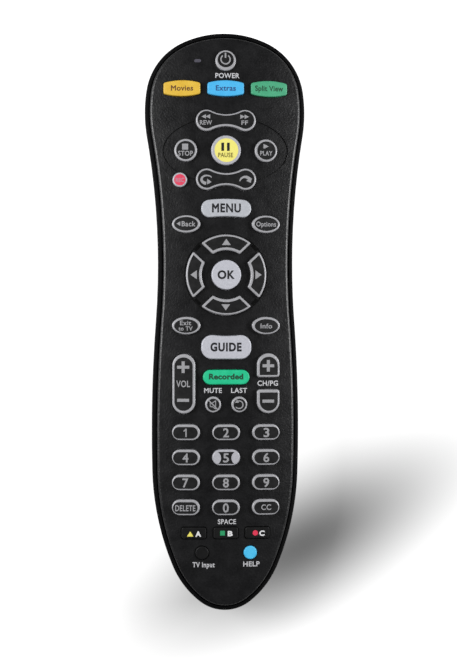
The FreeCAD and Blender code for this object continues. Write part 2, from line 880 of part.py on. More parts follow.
def contact_spring(side):
    # Tapering coil between a contact plate and the flat end of a cell
    x = side * cell_spacing / 2
    way = -side
    middle = bay_front_station - bay_length / 2
    back = middle - way * (bay_length / 2 - contact_thickness)
    room = spring_room() - spring_wire
    quarters = 4 * spring_turns
    points = []
    for place in range(2 * quarters + 1):
        share = place / (2 * quarters)
        angle = share * spring_turns * 2 * math.pi
        radius = spring_back_radius + (spring_front_radius - spring_back_radius) * share
        y = back + way * (spring_wire / 2 + room * share)
        points.append(Vector(x + radius * math.cos(angle), y,
                             cell_axis_height + radius * math.sin(angle)))
    edges = [Part.Arc(points[2 * place], points[2 * place + 1], points[2 * place + 2]).toShape()
             for place in range(quarters)]
    path = Part.Wire(edges)
    direction = edges[0].tangentAt(edges[0].FirstParameter)
    section = Part.Wire([Part.Circle(points[0], direction, spring_wire / 2).toShape()])
    coil = path.makePipeShell([section], True, False)
    pitch = room / spring_turns
    taper = (spring_back_radius - spring_front_radius) / spring_turns
    print("spring least gap between turns", round(math.hypot(pitch, taper) - spring_wire, 3))
    return coil


def controller_chip():
    half = chip_size / 2
    return box((-half, chip_station - half, board_bottom - chip_height),
               (half, chip_station + half, board_bottom))


def board_parts():
    # Crystal can and capacitors under the board
    width, depth, height = crystal_size
    crystal = box((-width / 2, crystal_station - depth / 2, board_bottom - height),
                  (width / 2, crystal_station + depth / 2, board_bottom))
    solids = [crystal]
    for side in (-1, 1):
        solids.append(cylinder(side * chip_size, capacitor_station, capacitor_radius,
                               board_bottom - capacitor_length, board_bottom))
    return Part.makeCompound(solids)


def write_part(name, shape):
    shape.exportStep(os.path.join("parts", name + ".step"))
    print(name, "solids", len(shape.Solids), "valid", shape.isValid(),
          "volume", round(shape.Volume, 1))


def build():
    os.makedirs("parts", exist_ok=True)
    keys = key_list()
    rockers = rocker_list()
    places = contact_places(keys, rockers)
    shell = casing_shell()
    both = (-1, 1)
    screws = [screw(x, y) for x, y in mirrored_pair(screw_places)]
    plates = [contact_plate(side, end) for side in both for end in both]
    write_part("rear_case", rear_case(shell))
    write_part("battery_door", battery_door(shell))
    write_part("ir_window", shell.common(window_block(0)))
    write_part("top_case", top_case(keys, rockers))
    write_part("circuit_board", circuit_board())
    write_part("keypad_mat", keypad_mat(places, rockers))
    write_part("contact_pills", contact_pills(places))
    write_part("status_light", status_light())
    write_part("infrared_lamps", Part.makeCompound([infrared_lamp(side) for side in both]))
    write_part("case_screws", Part.makeCompound(screws))
    write_part("battery_cells", Part.makeCompound([cell(side) for side in both]))
    write_part("battery_contacts", Part.makeCompound(plates))
    write_part("battery_springs", Part.makeCompound([contact_spring(side) for side in both]))
    write_part("controller_chip", controller_chip())
    write_part("board_parts", board_parts())
    for name, outline, height in keys:
        write_part(name, push_key(outline, height))
    for name, outline, axis, contacts in rockers:
        write_part(name, rocker_key(outline, axis))


build()
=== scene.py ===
import json
import math
import bmesh
import bpy
import numpy as np
from mathutils import Matrix, Vector


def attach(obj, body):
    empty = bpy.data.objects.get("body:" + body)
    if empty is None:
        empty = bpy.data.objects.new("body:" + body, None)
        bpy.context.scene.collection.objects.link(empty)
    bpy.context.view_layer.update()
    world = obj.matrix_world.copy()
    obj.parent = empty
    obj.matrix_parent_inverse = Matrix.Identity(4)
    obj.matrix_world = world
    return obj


# Looks of the cable box remote control. Sizes are in millimetres and turned to
# metres when a mesh is made. +Y is the head end and +Z is out of the face.
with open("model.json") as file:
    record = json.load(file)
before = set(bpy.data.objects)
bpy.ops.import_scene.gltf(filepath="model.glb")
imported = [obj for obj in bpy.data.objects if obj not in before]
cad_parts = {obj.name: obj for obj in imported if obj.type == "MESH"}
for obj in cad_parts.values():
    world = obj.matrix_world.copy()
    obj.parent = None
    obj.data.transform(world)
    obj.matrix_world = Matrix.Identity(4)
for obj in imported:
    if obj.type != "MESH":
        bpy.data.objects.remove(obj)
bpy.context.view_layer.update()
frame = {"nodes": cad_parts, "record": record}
mm = 0.001
print("frame loaded,", len(frame["nodes"]), "nodes")


def toLinear(hexColour):
    # sRGB hex to linear: c / 12.92 up to 0.04045, else ((c + 0.055) / 1.055) ^ 2.4
    channels = [int(hexColour[place:place + 2], 16) / 255 for place in (1, 3, 5)]
    linear = [c / 12.92 if c <= 0.04045 else ((c + 0.055) / 1.055) ** 2.4 for c in channels]
    return (*linear, 1.0)


def addNode(tree, kind, settings=None, links=None):
    # One node: a setting goes to the socket of that name or number, else to the
    # property, and a link is the socket that feeds it
    node = tree.nodes.new(kind)
    for name, value in (settings or {}).items():
        if isinstance(name, int) or name in node.inputs:
            node.inputs[name].default_value = value
        else:
            setattr(node, name, value)
    for name, source in (links or {}).items():
        tree.links.new(source, node.inputs[name])
    return node


def emptyMaterial(name):
    # A new material with nothing in its node tree
    material = bpy.data.materials.new(name)
    material.use_nodes = True
    material.node_tree.nodes.clear()
    return material, material.node_tree


def finishTree(tree, shader):
    # The shader goes to the surface of the material
    addNode(tree, "ShaderNodeOutputMaterial", {}, {"Surface": shader.outputs[0]})


# Shares of the noise between which the tone and the roughness wander
noiseSpans = {"tone": (0.35, 0.65), "roughness": (0.3, 0.7)}


def grainedMaterial(name, colour, otherColour, patchSize, grainSize, grainDepth, roughness,
                    roughnessSpread=0.06, surface=None):
    # Base colour = mix of two tones by half the patches' noise plus half the grain's,
    # roughness = its middle +- the spread by the patches, and the bump's height is the
    # grain. Sizes in mm.
    material, tree = emptyMaterial(name)
    place = addNode(tree, "ShaderNodeTexCoord").outputs["Object"]
    patches = addNode(tree, "ShaderNodeTexNoise",
                      {"Scale": 1 / (patchSize * mm), "Detail": 3.0, "Roughness": 0.6},
                      {"Vector": place}).outputs["Fac"]
    grain = addNode(tree, "ShaderNodeTexNoise",
                    {"Scale": 1 / (grainSize * mm), "Detail": 2.0, "Roughness": 0.55},
                    {"Vector": place}).outputs["Fac"]
    half = addNode(tree, "ShaderNodeMath", {"operation": "MULTIPLY", 1: 0.5}, {0: patches})
    both = addNode(tree, "ShaderNodeMath", {"operation": "MULTIPLY_ADD", 1: 0.5},
                   {0: grain, 2: half.outputs[0]}).outputs[0]
    tone = addNode(tree, "ShaderNodeValToRGB", {}, {"Fac": both})
    for end, hexColour in enumerate((colour, otherColour)):
        tone.color_ramp.elements[end].position = noiseSpans["tone"][end]
        tone.color_ramp.elements[end].color = toLinear(hexColour)
    low, high = noiseSpans["roughness"]
    wander = addNode(tree, "ShaderNodeMapRange",
                     {"From Min": low, "From Max": high, "To Min": roughness - roughnessSpread,
                      "To Max": roughness + roughnessSpread}, {"Value": patches})
    bump = addNode(tree, "ShaderNodeBump", {"Strength": 1.0, "Distance": grainDepth * mm},
                   {"Height": grain})
    shader = addNode(tree, "ShaderNodeBsdfPrincipled", surface or {},
                     {"Base Color": tone.outputs["Color"], "Roughness": wander.outputs[0],
                      "Normal": bump.outputs[0]})
    finishTree(tree, shader)
    return material


# Moulded ABS, spark-eroded tool: a dry, even charcoal grain. The real grit is
# 0.1 mm, drawn at 0.7 mm so that it shows.
texturedAbs = grainedMaterial("texturedAbs", "#030305", "#151517", 5.0, 0.7, 0.09, 0.36, 0.04,
                              {"IOR": 1.53, "Specular IOR Level": 0.5})
# Moulded ABS from a fine-blasted tool: near black, a broad soft sheen
satinAbs = grainedMaterial("satinAbs", "#09090a", "#0f0f10", 6.0, 0.35, 0.006, 0.6,
                           surface={"IOR": 1.53, "Specular IOR Level": 0.05})
# Silver lacquer on ABS: flakes of 0.05 mm, drawn at 0.3 mm so that they show
silverLacquer = grainedMaterial("silverLacquer", "#acacb0", "#bcbcc0", 0.9, 0.3, 0.004, 0.38,
                                surface={"IOR": 1.5, "Metallic": 0.15})
brightLacquer = grainedMaterial("brightLacquer", "#b9b9c0", "#c9c9d0", 0.9, 0.3, 0.004, 0.4,
                                surface={"IOR": 1.5, "Metallic": 0.1})
paleLacquer = grainedMaterial("paleLacquer", "#bcbfc6", "#ced1d8", 0.9, 0.3, 0.004, 0.4,
                              surface={"IOR": 1.5, "Metallic": 0.1})
lightLacquer = grainedMaterial("lightLacquer", "#c4c5ce", "#d5d6df", 0.9, 0.3, 0.004, 0.4,
                               surface={"IOR": 1.5, "Metallic": 0.1})
# Black topcoat over the silver: even and slightly glossy
blackTopcoat = grainedMaterial("blackTopcoat", "#131314", "#19191a", 2.0, 0.3, 0.003, 0.4,
                               surface={"IOR": 1.5})
# ABS coloured through, from satin tools: even and saturated, with a soft highlight
blackAbs = grainedMaterial("blackAbs", "#0b0b0c", "#111112", 2.0, 0.3, 0.004, 0.55,
                           surface={"IOR": 1.53, "Specular IOR Level": 0.25})
amberAbs = grainedMaterial("amberAbs", "#e7b93a", "#f2c94a", 3.0, 0.35, 0.004, 0.42,
                           surface={"IOR": 1.53})
blueAbs = grainedMaterial("blueAbs", "#49bbf7", "#58c7ff", 3.0, 0.35, 0.004, 0.42,
                          surface={"IOR": 1.53})
# The help key's blue ABS is painted brighter than the blue key's: painted light that makes up for
# the weaker light at the tail end
blueAbsPaintedBright = grainedMaterial("blueAbsPaintedBright", "#48c6fc", "#58d0ff", 3.0, 0.35, 0.004, 0.42,
                         surface={"IOR": 1.53})
greenAbs = grainedMaterial("greenAbs", "#47a97e", "#54b78a", 3.0, 0.35, 0.004, 0.42,
                           surface={"IOR": 1.53})
emeraldAbs = grainedMaterial("emeraldAbs", "#1ec48c", "#2ad29a", 3.0, 0.35, 0.004, 0.42,
                             surface={"IOR": 1.53})
# Coloured topcoats over the silver: flat, brighter than the moulded keys
yellowTopcoat = grainedMaterial("yellowTopcoat", "#fdf27a", "#fff68a", 2.0, 0.35, 0.003, 0.42,
                                surface={"IOR": 1.5})
redTopcoat = grainedMaterial("redTopcoat", "#e43c5b", "#f04e6c", 2.0, 0.35, 0.003, 0.42,
                             surface={"IOR": 1.5})
# Screen-printed ink: flat and dry, with a little unevenness of the print
greyInk = grainedMaterial("greyInk", "#98989b", "#aaaaad", 0.6, 0.25, 0.002, 0.55)
paleInk = grainedMaterial("paleInk", "#c4c4c7", "#d6d6da", 0.6, 0.25, 0.002, 0.55)
whiteInk = grainedMaterial("whiteInk", "#e6e6e8", "#f4f4f5", 0.6, 0.25, 0.002, 0.55)
darkInk = grainedMaterial("darkInk", "#101116", "#191a20", 0.6, 0.25, 0.002, 0.55)
brownInk = grainedMaterial("brownInk", "#694521", "#77512b", 0.6, 0.25, 0.002, 0.55)
blueInk = grainedMaterial("blueInk", "#2a4f86", "#355c93", 0.6, 0.25, 0.002, 0.55)
greenInk = grainedMaterial("greenInk", "#17462f", "#20533a", 0.6, 0.25, 0.002, 0.55)
oliveInk = grainedMaterial("oliveInk", "#6f632e", "#7c7038", 0.6, 0.25, 0.002, 0.55)
pinkInk = grainedMaterial("pinkInk", "#b98496", "#c592a3", 0.6, 0.25, 0.002, 0.55)
yellowInk = grainedMaterial("yellowInk", "#f6ea66", "#fdf378", 0.6, 0.25, 0.002, 0.55)
leafInk = grainedMaterial("leafInk", "#259b63", "#30a96f", 0.6, 0.25, 0.002, 0.55)
redInk = grainedMaterial("redInk", "#e62f50", "#f23f5f", 0.6, 0.25, 0.002, 0.55)
# Matte black, a painted shade: it stands for the deep ends of channels, which swallow light
channelShade = grainedMaterial("channelShade", "#040404", "#070707", 0.6, 0.25, 0.002, 0.7,
                           surface={"Specular IOR Level": 0.1})
# Glass epoxy laminate: green lacquer, glossy over a faint weave
glassEpoxy = grainedMaterial("glassEpoxy", "#14502a", "#1c6636", 1.2, 0.5, 0.01, 0.35,
                             surface={"IOR": 1.55, "Coat Weight": 0.4, "Coat Roughness": 0.15})
# Moulded silicone and carbon rubber: dull and soft, grey and black
mouldedSilicone = grainedMaterial("mouldedSilicone", "#7d7e80", "#8a8b8d", 4.0, 0.3, 0.006, 0.7,
                                  surface={"IOR": 1.41})
carbonRubber = grainedMaterial("carbonRubber", "#161616", "#202020", 1.0, 0.2, 0.006, 0.75)
# Moulded epoxy of the chip: dry black with a faint grit
mouldedEpoxy = grainedMaterial("mouldedEpoxy", "#1a1a1b", "#232324", 1.5, 0.2, 0.008, 0.6,
                               surface={"IOR": 1.55})
# Clear resins: the window is a smooth dark gloss, the light guide frosted
smokedAcrylic = grainedMaterial("smokedAcrylic", "#0b080d", "#110c14", 6.0, 1.5, 0.001, 0.1,
                                0.02, {"IOR": 1.49})
frostedAcrylic = grainedMaterial("frostedAcrylic", "#4f4d58", "#5d5b66", 0.8, 0.3, 0.004, 0.35,
                                 surface={"IOR": 1.49})
tintedEpoxy = grainedMaterial("tintedEpoxy", "#2a2436", "#362e44", 2.0, 1.0, 0.001, 0.08,
                              0.02, {"IOR": 1.55})
# Plated steel and drawn cans: bright, a little brushed by handling
zincSteel = grainedMaterial("zincSteel", "#b4b4ae", "#c6c6c0", 0.7, 0.2, 0.004, 0.34,
                            surface={"Metallic": 1.0})
nickelSteel = grainedMaterial("nickelSteel", "#c4c2ba", "#d2d0c8", 1.5, 0.25, 0.003, 0.24,
                              surface={"Metallic": 1.0})
drawnCan = grainedMaterial("drawnCan", "#c8c9cb", "#d6d7d9", 1.2, 0.25, 0.003, 0.28,
                           surface={"Metallic": 1.0})

# Cells in their printed shrink sleeves: ends in mm along Y, bands as shares of it
sleeve = {
    "tailEnd": -76.9, "headEnd": -21.5, "dark": "#23303d", "pale": "#c9ccd0",
    "bands": (0.3, 0.33, 0.67, 0.7), "film": 3.0, "filmDepth": 0.01, "roughness": 0.25,
}


def printedSleeve():
    # Rings of colour along Y, alike from both ends, because the cells lie opposite
    # ways, and a low wide bump where the film is drawn tight
    material, tree = emptyMaterial("printedSleeve")
    place = addNode(tree, "ShaderNodeTexCoord").outputs["Object"]
    along = addNode(tree, "ShaderNodeSeparateXYZ", {}, {0: place}).outputs["Y"]
    share = addNode(tree, "ShaderNodeMapRange",
                    {"From Min": sleeve["tailEnd"] * mm, "From Max": sleeve["headEnd"] * mm},
                    {"Value": along}).outputs[0]
    bands = addNode(tree, "ShaderNodeValToRGB", {}, {"Fac": share})
    bands.color_ramp.interpolation = "CONSTANT"
    bands.color_ramp.elements[0].color = toLinear(sleeve["dark"])
    for position, colour in zip(sleeve["bands"], ("pale", "dark", "pale", "dark")):
        bands.color_ramp.elements.new(position).color = toLinear(sleeve[colour])
    film = addNode(tree, "ShaderNodeTexNoise", {"Scale": 1 / (sleeve["film"] * mm), "Detail": 2.0},
                   {"Vector": place})
    bump = addNode(tree, "ShaderNodeBump",
                   {"Strength": 1.0, "Distance": sleeve["filmDepth"] * mm},
                   {"Height": film.outputs["Fac"]})
    shader = addNode(tree, "ShaderNodeBsdfPrincipled",
                     {"Roughness": sleeve["roughness"], "IOR": 1.5},
                     {"Base Color": bands.outputs["Color"], "Normal": bump.outputs[0]})
    finishTree(tree, shader)
    return material


nodeMaterials = {
    "rear_case": satinAbs, "battery_door": satinAbs, "top_case": texturedAbs,
    "ir_window": smokedAcrylic, "circuit_board": glassEpoxy, "keypad_mat": mouldedSilicone,
    "contact_pills": carbonRubber, "status_light": frostedAcrylic,
    "infrared_lamps": tintedEpoxy, "case_screws": zincSteel,
    "battery_cells": printedSleeve(), "battery_contacts": nickelSteel,
    "battery_springs": nickelSteel, "controller_chip": mouldedEpoxy, "board_parts": drawnCan,
    "key_amber": amberAbs, "key_blue": blueAbs, "key_green": greenAbs, "key_list": emeraldAbs,
    "key_help": blueAbsPaintedBright, "key_menu": paleLacquer, "key_guide": lightLacquer,
    "key_pause": brightLacquer, "key_record": brightLacquer, "key_5": brightLacquer,
    "key_ok": lightLacquer, "key_a": blackAbs, "key_b": blackAbs, "key_c": blackAbs,
    "key_input": blackAbs,
}
for name, node in frame["nodes"].items():
    material = nodeMaterials.get(name, silverLacquer)
    node.data.materials.clear()
    node.data.materials.append(material)
print("materials on the frame's nodes")


# The crowned face that everything below is laid on, in mm: height in the middle, the
# two radii of its crown, and how far a thin piece reaches under the surface it is on
faceForm = {"height": 27.4, "across": 140.0, "along": 1300.0, "sink": 0.05}


def faceLevel(x, y, rise):
    # A circle across the remote, turned on a larger circle along it:
    # z = height - along + sqrt((along - across + sqrt((across + rise)^2 - x^2))^2 - y^2)
    ring = faceForm["along"] - faceForm["across"]
    over = ring + np.sqrt((faceForm["across"] + rise) ** 2 - x ** 2)
    return faceForm["height"] - faceForm["along"] + np.sqrt(over ** 2 - y ** 2)


def ovalOutline(width, height, samples=72):
    # (a cos t, b sin t) for t round the full turn
    turn = np.linspace(0, 2 * np.pi, samples, endpoint=False)
    return np.stack([width / 2 * np.cos(turn), height / 2 * np.sin(turn)], axis=1)


# Distance between the points of a line and the least between any two, in mm
outlineForm = {"step": 0.5, "least": 0.02}


def arcOutline(arcs, samples=14):
    # Arcs (x, y, radius, from, to in degrees) in turn: centre + r (cos t, sin t).
    # The lines that join them get a point at every step of the way round.
    parts = []
    for x, y, radius, start, end in arcs:
        turn = np.radians(np.linspace(start, end, samples))
        parts.append(np.stack([x + radius * np.cos(turn), y + radius * np.sin(turn)], axis=1))
    corners = np.concatenate(parts + [parts[0][:1]])
    way = np.concatenate([[0], np.cumsum(np.linalg.norm(np.diff(corners, axis=0), axis=1))])
    step = outlineForm["step"]
    marks = np.union1d(np.round(way[:-1], 4), np.arange(0, way[-1] - step / 2, step))
    marks = marks[np.concatenate([[True], np.diff(marks) > outlineForm["least"]])]
    return np.stack([np.interp(marks, way, corners[:, 0]),
                     np.interp(marks, way, corners[:, 1])], axis=1)


def pillOutline(width, height):
    # Two half circles at the ends of the longer side
    radius = min(width, height) / 2
    reach = abs(width - height) / 2
    if width > height:
        return arcOutline([(reach, 0, radius, -90, 90), (-reach, 0, radius, 90, 270)], 24)
    return arcOutline([(0, reach, radius, 0, 180), (0, -reach, radius, 180, 360)], 24)


def dumbbellOutline(lobePitch, lobeSize, waistSize, grow):
    # Lobe arcs of radius r + g and hollow neck arcs of radius R - g that touch them
    lobe, lobeX, waist = lobeSize / 2, lobePitch / 2, waistSize / 2
    neck = (lobeX ** 2 + waist ** 2 - lobe ** 2) / (2 * (lobe - waist))
    neckY = waist + neck
    lean = math.degrees(math.atan2(neckY, -lobeX))
    return arcOutline([(lobeX, 0, lobe + grow, -lean, lean),
                       (0, neckY, neck - grow, lean - 180, -lean),
                       (-lobeX, 0, lobe + grow, 180 - lean, 180 + lean),
                       (0, -neckY, neck - grow, lean, 180 - lean)], 24)


def sectorOutline(innerRadius, outerRadius, channel, corner, slope):
    # Part of a ring: outer and inner arcs about the pad's middle, ends half a
    # channel in from lines at the slope's angle, corners of radius c
    inner, outer = innerRadius + corner, outerRadius - corner
    edge = channel / 2 + corner
    c, s = math.cos(math.radians(slope)), math.sin(math.radians(slope))
    corners = []
    for radius in (inner, outer):
        along = math.sqrt(radius ** 2 - edge ** 2)
        corners.append((along * c - edge * s, along * s + edge * c))
    (nearX, nearY), (farX, farY) = corners
    near = math.degrees(math.atan2(nearY, nearX))
    far = math.degrees(math.atan2(farY, farX))
    return arcOutline([(0, 0, outerRadius, far, 180 - far),
                       (-farX, farY, corner, 180 - far, 270 - slope),
                       (-nearX, nearY, corner, 270 - slope, 360 - near),
                       (0, 0, innerRadius, 180 - near, near),
                       (nearX, nearY, corner, 180 + near, 270 + slope),
                       (farX, farY, corner, 270 + slope, 360 + far)])


def halfRoundOutline(width, height, corner):
    # Half circle over straight sides, with small corners at the flat end
    half = width / 2
    base = corner - height / 2
    return arcOutline([(0, height / 2 - half, half, 0, 180),
                       (corner - half, base, corner, 180, 270),
                       (half - corner, base, corner, 270, 360)], 20)


def hourglassOutline(height, halfWaist, hollowRadius):
    # Straight ends and two hollow arcs whose middles are halfWaist from the centre
    reach = math.degrees(math.asin(height / 2 / hollowRadius))
    middle = halfWaist + hollowRadius
    return arcOutline([(-middle, 0, hollowRadius, reach, -reach),
                       (middle, 0, hollowRadius, 180 + reach, 180 - reach)], 16)


def turned(points, degrees):
    # Rotation by the angle about the origin
    c, s = math.cos(math.radians(degrees)), math.sin(math.radians(degrees))
    return points @ np.array([[c, s], [-s, c]])


def slab(points, rise, material, lift, rings=6):
    # Thin closed solid on the crowned face. Ring k is centre + (1 - k / rings)
    # (outline - centre) at faceLevel + lift, and the underside is sink below it.
    centre = points.mean(axis=0)
    count = len(points)
    share = 1 - np.arange(rings)[:, None, None] / rings
    flat = (centre + share * (points - centre)).reshape(-1, 2)
    flat = np.concatenate([flat, centre[None], points, centre[None]])
    high = rings * count + 1
    z = np.concatenate([faceLevel(flat[:high, 0], flat[:high, 1], rise + lift),
                        faceLevel(flat[high:, 0], flat[high:, 1], rise - faceForm["sink"])])
    here = np.arange(count)
    after = (here + 1) % count
    row = np.arange(rings - 1)[:, None] * count
    quads = np.stack([row + here, row + after, row + count + after, row + count + here], -1)
    side = np.stack([high + here, high + after, after, here], -1)
    last = (rings - 1) * count
    cap = np.stack([last + here, last + after, np.full(count, rings * count)], -1)
    base = np.stack([high + after, high + here, np.full(count, high + count)], -1)
    faces = (quads.reshape(-1, 4).tolist() + side.tolist() + cap.tolist() + base.tolist())
    return np.column_stack([flat, z]), faces, material


def stroke(path, width, rise, material, lift):
    # Flat bar carried along a path: path +- width / 2 times its normal, square ends.
    # The width is one number or a column with one for each point.
    way = np.gradient(path, axis=0)
    way /= np.linalg.norm(way, axis=1, keepdims=True)
    normal = np.stack([-way[:, 1], way[:, 0]], axis=1) * width / 2
    flat = np.stack([path + normal, path - normal, path - normal, path + normal], axis=1)
    rises = np.array([lift, lift, -faceForm["sink"], -faceForm["sink"]]) + rise
    z = faceLevel(flat[..., 0], flat[..., 1], rises)
    co = np.concatenate([flat, z[..., None]], axis=2).reshape(-1, 3)
    row = np.arange(len(path) - 1)[:, None] * 4
    corner = np.arange(4)
    beside = (corner + 1) % 4
    quads = np.stack([row + corner, row + beside, row + 4 + beside, row + 4 + corner], -1)
    end = (len(path) - 1) * 4
    faces = quads.reshape(-1, 4).tolist() + [[3, 2, 1, 0], [end, end + 1, end + 2, end + 3]]
    return co, faces, material


def arcPath(x, y, radius, start, end, samples=24):
    # (x + r cos t, y + r sin t) for t from start to end, in degrees
    turn = np.radians(np.linspace(start, end, samples))
    return np.stack([x + radius * np.cos(turn), y + radius * np.sin(turn)], axis=1)


def straightPath(start, end, samples=4):
    # start + s (end - start) for s from 0 to 1
    share = np.linspace(0, 1, samples)[:, None]
    return np.array(start) + share * (np.array(end) - np.array(start))


# Letters at a text size of 1: half their depth, steps to a curve, weld distance, and
# the share of the normal's z under which a face is a side wall
lettering = {"halfDepth": 0.5, "steps": 4, "weld": 0.0001, "upright": 0.5}


def textFace(text, weight, spacing):
    # Letters of the built-in font as a welded mesh, made bolder by moving each
    # corner of the outline by 2 w s / |s|^2, where s is the sum of the normals of
    # the two side walls that meet there
    curve = bpy.data.curves.new("lettering", "FONT")
    curve.body = text
    curve.align_x = "CENTER"
    curve.extrude = lettering["halfDepth"]
    curve.resolution_u = lettering["steps"]
    curve.space_character = spacing
    maker = bpy.data.objects.new("lettering", curve)
    mesh = bpy.data.meshes.new_from_object(maker)
    welded = bmesh.new()
    welded.from_mesh(mesh)
    bmesh.ops.remove_doubles(welded, verts=welded.verts, dist=lettering["weld"])
    welded.to_mesh(mesh)
    welded.free()
    co = np.zeros(len(mesh.vertices) * 3)
    mesh.vertices.foreach_get("co", co)
    starts = np.zeros(len(mesh.polygons), int)
    mesh.polygons.foreach_get("loop_start", starts)
    corners = np.zeros(len(mesh.loops), int)
    mesh.loops.foreach_get("vertex_index", corners)
    faces = [list(map(int, face)) for face in np.split(corners, starts[1:])]
    normals = np.zeros(len(mesh.polygons) * 3)
    mesh.polygons.foreach_get("normal", normals)
    counts = np.diff(np.append(starts, len(corners)))
    normals = np.repeat(normals.reshape(-1, 3), counts, axis=0)
    upright = np.abs(normals[:, 2]) < lettering["upright"]
    pull = np.zeros((len(mesh.vertices), 3))
    np.add.at(pull, corners[upright], normals[upright])
    size = np.maximum((pull ** 2).sum(axis=1, keepdims=True), 1.0)
    co = co.reshape(-1, 3) + 2 * weight * pull / size
    bpy.data.objects.remove(maker)
    bpy.data.meshes.remove(mesh)
    bpy.data.curves.remove(curve)
    return co, faces


# Cap height at a text size of 1
capShare = np.ptp(textFace("H", 0.0, 1.0)[0][:, 1])


def words(text, x, y, capHeight, width, rise, material, lift, weight=0.02, spacing=1.0):
    # Letters scaled to a cap height and a width about x, y:
    # x + (u - middle) width / reach of u, y + (v - cap / 2) capHeight / cap
    co, faces = textFace(text, weight, spacing)
    across = (co[:, 0].max() + co[:, 0].min()) / 2
    flatX = x + (co[:, 0] - across) * width / np.ptp(co[:, 0])
    flatY = y + (co[:, 1] - capShare / 2) * capHeight / capShare
    rises = rise + np.where(co[:, 2] > 0, lift, -faceForm["sink"])
    return np.column_stack([flatX, flatY, faceLevel(flatX, flatY, rises)]), faces, material


sharpAngle = 30.0  # degrees, above which an edge stays sharp


def makePiece(name, shapes, body):
    # Shapes joined in one mesh, each with its own material, riding on a body
    materials = []
    points, faces, slots = [], [], []
    start = 0
    for co, shapeFaces, material in shapes:
        if material not in materials:
            materials.append(material)
        faces += [[corner + start for corner in face] for face in shapeFaces]
        slots += [materials.index(material)] * len(shapeFaces)
        points.append(co * mm)
        start += len(co)
    mesh = bpy.data.meshes.new(name)
    mesh.from_pydata(np.concatenate(points).tolist(), [], faces)
    for material in materials:
        mesh.materials.append(material)
    mesh.polygons.foreach_set("material_index", slots)
    mesh.polygons.foreach_set("use_smooth", [True] * len(faces))
    mesh.set_sharp_from_angle(angle=math.radians(sharpAngle))
    mesh.update()
    piece = bpy.data.objects.new(name, mesh)
    bpy.context.scene.collection.objects.link(piece)
    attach(piece, body)


# The black, yellow or red topcoat inside each silver ring, in mm. The first row is how
# far the keys stand out, and the ink of the legends lies on the topcoat. The guide key
# stands highest, so its ink is thinner and stays within the solids' height. Dumbbell:
# pitch and size of the lobes, waist. Half round: width, height, corner. Sector: inner
# and outer radius, channel, corner. Hourglass: height, half waist, hollow's radius.
keyTops = {
    "raised": 1.6, "colourRaised": 1.3, "menuRaised": 1.7, "smallRaised": 0.7,
    "lift": 0.01, "inkLift": 0.025, "guideInkLift": 0.009,
    "dumbbell": (14.7, 8.1, 4.6), "dumbbellInset": 0.68, "oval": (8.95, 5.2),
    "halfRound": (6.9, 6.95, 0.2), "transport": 7.0,
    "sector": (10.1, 14.3, 5.8, 0.15), "padStation": 17.7, "padShift": 0.25, "padLean": 1.6,
    "number": (9.3, 4.45), "numberColumns": (-15.42, -0.17, 15.36), "numberStation": -42.03,
    "numberPitch": 9.5, "hourglass": (4.6, 1.95, 2.75),
}


def topOutlines():
    # Outline, middle and material of each top. The middles are a little
    # outwards of the keys', where the rings are thinner on the real one.
    dumbbell = dumbbellOutline(*keyTops["dumbbell"], -keyTops["dumbbellInset"])
    back = ovalOutline(*keyTops["oval"])
    transport = ovalOutline(keyTops["transport"], keyTops["transport"])
    upKey = halfRoundOutline(*keyTops["halfRound"])
    tops = {
        "power": (ovalOutline(6.15, 5.95), (0, 99.5), blackTopcoat),
        "rewind": (dumbbell, (0, 76.45), blackTopcoat),
        "stop": (transport, (-15.31, 64.9), blackTopcoat),
        "play": (transport, (15.38, 64.9), blackTopcoat),
        "pause": (ovalOutline(9.0, 9.0), (0.1, 64.9), yellowTopcoat),
        "record": (ovalOutline(4.3, 4.3), (-17.5, 53.65), redTopcoat),
        "replay": (dumbbell, (0, 53.93), blackTopcoat),
        "back": (back, (-15.22, 36.95), blackTopcoat),
        "options": (back, (15.27, 36.95), blackTopcoat),
        "exit": (back, (-15.2, -1.65), blackTopcoat),
        "info": (back, (15.24, -1.65), blackTopcoat),
        "volume": (pillOutline(6.85, 20.2), (-16.14, -23.6), blackTopcoat),
        "channel_up": (upKey, (16.13, -16.75), blackTopcoat),
        "channel_down": (turned(upKey, 180), (16.16, -30.3), blackTopcoat),
        "mute": (ovalOutline(4.6, 4.6), (-4.98, -31.4), blackTopcoat),
        "last": (ovalOutline(4.6, 4.6), (5.05, -31.4), blackTopcoat),
    }
    for place, name in enumerate(("up", "left", "down", "right")):
        turn = math.radians(90 * place)
        outwards = (-keyTops["padShift"] * math.sin(turn),
                    keyTops["padStation"] + keyTops["padShift"] * math.cos(turn))
        slope = 45 + keyTops["padLean"] * (1 if place % 2 else -1)
        sector = sectorOutline(*keyTops["sector"], slope)
        tops[name] = (turned(sector, 90 * place), outwards, blackTopcoat)
    number = pillOutline(*keyTops["number"])
    for place, name in enumerate(("1", "2", "3", "4", "5", "6", "7", "8", "9",
                                  "delete", "0", "captions")):
        x = keyTops["numberColumns"][place % 3]
        y = keyTops["numberStation"] - keyTops["numberPitch"] * (place // 3)
        tops[name] = (number, (x, y), blackTopcoat)
    tops["5"] = (hourglassOutline(*keyTops["hourglass"]), (0, -51.55), blackTopcoat)
    return tops


# Digits: columns and first row, then cap height and width, in mm
digits = {"columns": (-15.4, -0.1, 15.3), "station": -42.0, "pitch": 9.5, "size": (3.25, 2.25)}


